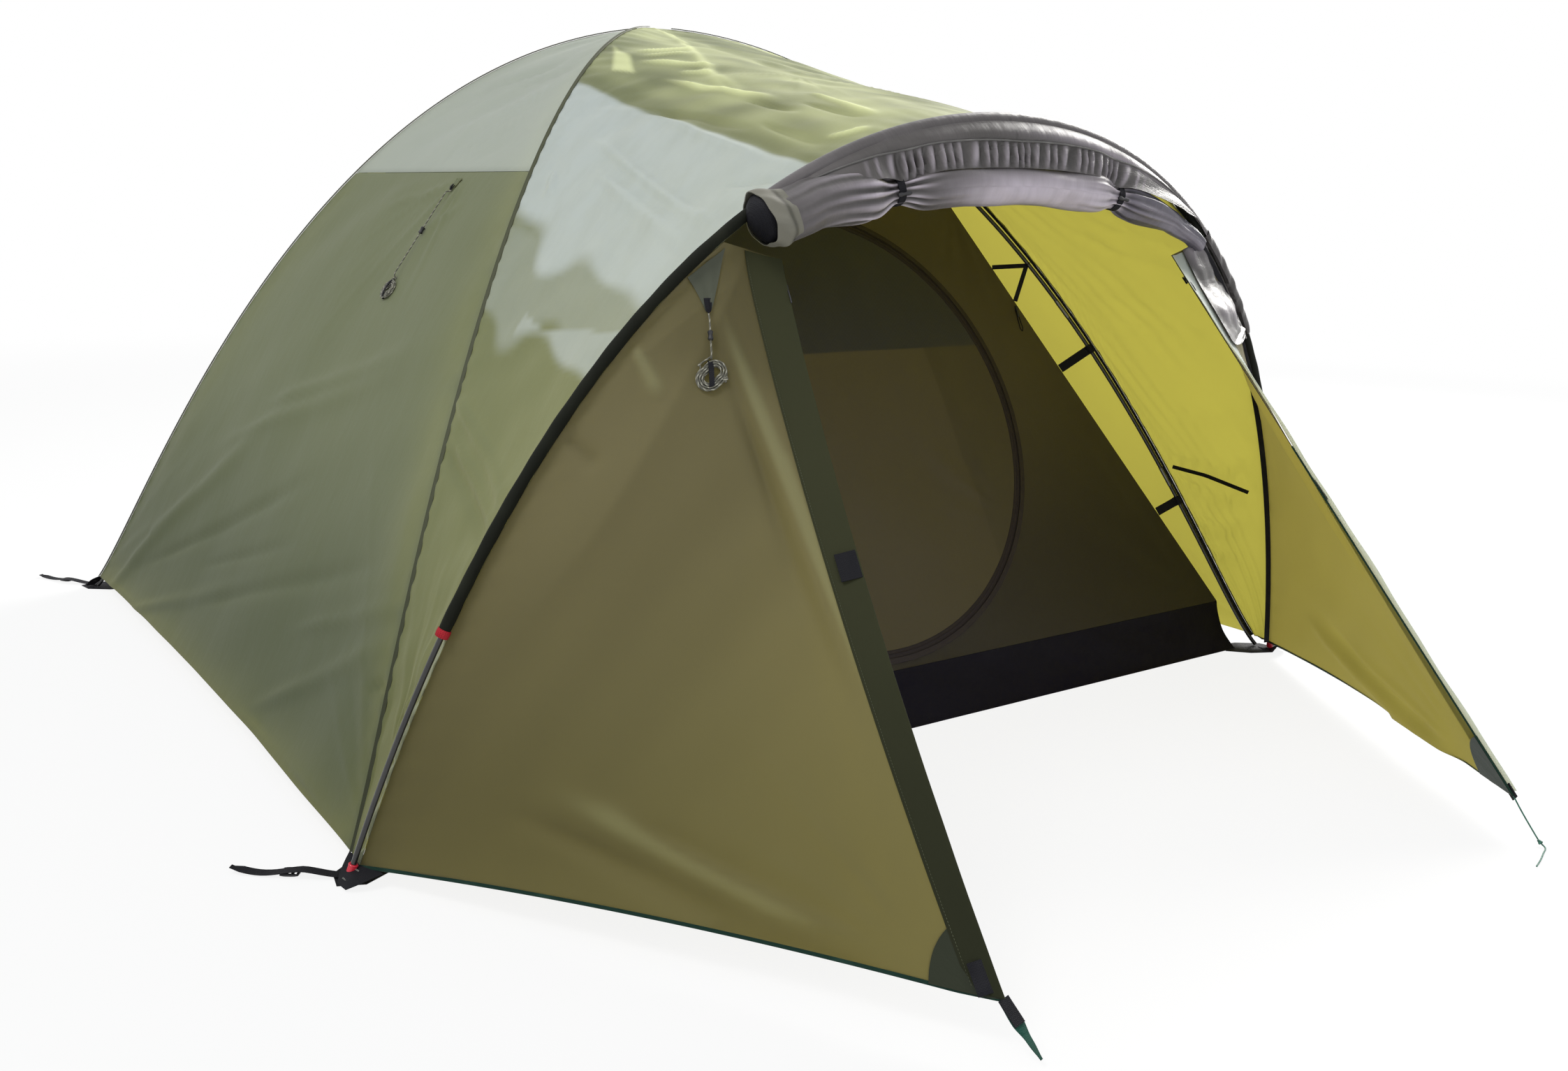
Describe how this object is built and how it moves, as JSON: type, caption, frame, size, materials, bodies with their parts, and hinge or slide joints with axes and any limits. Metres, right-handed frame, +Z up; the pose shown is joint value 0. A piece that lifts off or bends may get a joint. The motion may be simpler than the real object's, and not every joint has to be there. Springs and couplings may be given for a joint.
{
  "type": "camping tent",
  "caption": "Dome camping tent with crossed poles, a hooped porch whose door is rolled up, and a hanging inner tent with a round zipped doorway.",
  "frame": {"origin": "on the ground, under the crossing of the dome poles", "axes": "+Z up, +X to the right seen from the porch, -Y out of the porch"},
  "size_m": [2.4211, 2.9391, 1.3241],
  "materials": {
    "fly_olive": "matt coated polyester",
    "fly_sage": "coated polyester with a light sheen",
    "wing_khaki": "matt coated polyester",
    "hood_grey": "coated polyester with a soft sheen",
    "inner_brown": "thin breathable polyester",
    "mesh_black": "fine netting",
    "floor_navy": "heavy coated groundsheet",
    "webbing_black": "woven webbing",
    "trim_red": "woven webbing",
    "ribbon_teal": "woven ribbon",
    "guy_cord": "braided cord",
    "pole_black": "glass-fibre rod",
    "fitting_black": "moulded",
    "zip_maroon": "coil zip on a woven tape"
  },
  "bodies": {
    "tent": {"corner_web_back_left": "webbing_black", "corner_web_back_right": "webbing_black", "corner_web_front_left": "webbing_black", "corner_web_front_right": "webbing_black", "dome_pole_lower": "pole_black", "dome_pole_upper": "pole_black", "door_roll": "hood_grey", "door_tie_left": "webbing_black", "door_tie_right": "webbing_black", "door_zip": "zip_maroon", "fly_front": "fly_olive", "fly_roof": "fly_sage", "fly_side_back": "fly_olive", "fly_side_left": "fly_olive", "fly_side_right": "fly_olive", "groundsheet_tray": "floor_navy", "guy_hank_front": "guy_cord", "guy_hank_side": "guy_cord", "guy_line_front": "guy_cord", "guy_line_side": "guy_cord", "guy_tab_front": "fly_sage", "guy_tab_side": "fly_sage", "hood": "hood_grey", "hoop_pole": "pole_black", "inner_roof": "mesh_black", "inner_wall_back": "inner_brown", "inner_wall_front": "inner_brown", "inner_wall_left": "inner_brown", "inner_wall_right": "inner_brown", "peg_cord_right": "ribbon_teal", "peg_ribbon_left": "ribbon_teal", "pole_cap_left": "trim_red", "pole_cap_right": "trim_red", "pole_hook_lower_left": "webbing_black", "pole_hook_lower_right": "webbing_black", "pole_hook_upper_left": "webbing_black", "pole_hook_upper_right": "webbing_black", "sleeve_end_left": "trim_red", "sleeve_end_right": "trim_red", "sleeve_left": "webbing_black", "sleeve_right": "webbing_black", "storm_flap_left": "fly_olive", "storm_flap_right": "fly_olive", "v_strap_left": "webbing_black", "v_strap_right": "webbing_black", "wing_left": "wing_khaki", "wing_right": "wing_khaki"},
    "inner_door": {"inner_door": "inner_brown"},
    "door_zip_slider": {"door_zip_slider": "fitting_black"},
    "porch_zip_slider_left": {"porch_zip_slider_left": "fitting_black"},
    "porch_zip_slider_right": {"porch_zip_slider_right": "fitting_black"},
    "door_toggle_left": {"door_toggle_left": "fitting_black"},
    "door_toggle_right": {"door_toggle_right": "fitting_black"},
    "door_tieback": {"door_tieback": "fitting_black"},
    "corner_buckle_front_left": {"corner_buckle_front_left": "fitting_black"},
    "corner_buckle_front_right": {"corner_buckle_front_right": "fitting_black"},
    "corner_buckle_back_left": {"corner_buckle_back_left": "fitting_black"},
    "corner_buckle_back_right": {"corner_buckle_back_right": "fitting_black"},
    "guy_runner_side": {"guy_runner_side": "fitting_black"},
    "guy_runner_front": {"guy_runner_front": "fitting_black"}
  },
  "joints": [
    {"name": "inner_door_turn", "type": "hinge", "parent": "tent", "child": "inner_door", "pos_m": [-0.26006, -0.64284, 0.53473], "axis": [0, -0.4471, -0.8945], "range_deg": [0, 50]},
    {"name": "door_zip_slider_turn", "type": "hinge", "parent": "tent", "child": "door_zip_slider", "pos_m": [0.04, -0.64284, 0.53473], "axis": [0, -0.8945, 0.4471], "range_deg": [0, 245]},
    {"name": "porch_zip_slider_left_slide", "type": "slide", "parent": "tent", "child": "porch_zip_slider_left", "axis": [-0.1507, -0.6022, -0.784], "range_m": [0, 0.22]},
    {"name": "porch_zip_slider_right_slide", "type": "slide", "parent": "tent", "child": "porch_zip_slider_right", "axis": [0.1507, -0.6022, -0.784], "range_m": [0, 0.22]},
    {"name": "door_toggle_left_turn", "type": "hinge", "parent": "tent", "child": "door_toggle_left", "pos_m": [-0.24, -1.14102, 0.97913], "axis": [0, -0.9882, -0.1531], "range_deg": [-90, 90]},
    {"name": "door_toggle_right_turn", "type": "hinge", "parent": "tent", "child": "door_toggle_right", "pos_m": [0.24, -1.14102, 0.97913], "axis": [0, -0.9882, -0.1531], "range_deg": [-90, 90]},
    {"name": "door_tieback_turn", "type": "hinge", "parent": "tent", "child": "door_tieback", "pos_m": [0.60015, -0.53958, 0.75092], "axis": [0, -0.8945, 0.4471], "range_deg": [-70, 70]},
    {"name": "corner_buckle_front_left_turn", "type": "hinge", "parent": "tent", "child": "corner_buckle_front_left", "pos_m": [-1.10979, -0.88148, 0.0018], "axis": [0.5708, 0.8211, 0], "range_deg": [0, 60]},
    {"name": "corner_buckle_front_right_turn", "type": "hinge", "parent": "tent", "child": "corner_buckle_front_right", "pos_m": [1.11856, -0.96245, 0.0018], "axis": [-0.3818, -0.9243, 0], "range_deg": [0, 60]},
    {"name": "corner_buckle_back_left_turn", "type": "hinge", "parent": "tent", "child": "corner_buckle_back_left", "pos_m": [-1.091, 0.998, 0.0018], "axis": [0.8, 0.6, 0], "range_deg": [0, 60]},
    {"name": "corner_buckle_back_right_turn", "type": "hinge", "parent": "tent", "child": "corner_buckle_back_right", "pos_m": [1.091, 0.998, 0.0018], "axis": [0.8, -0.6, 0], "range_deg": [0, 60]},
    {"name": "guy_runner_side_slide", "type": "slide", "parent": "tent", "child": "guy_runner_side", "axis": [-0.5683, 0.0997, -0.8168], "range_m": [-0.05, 0.05]},
    {"name": "guy_runner_front_slide", "type": "slide", "parent": "tent", "child": "guy_runner_front", "axis": [-0.1976, -0.4067, -0.8919], "range_m": [-0.015, 0.015]}
  ]
}
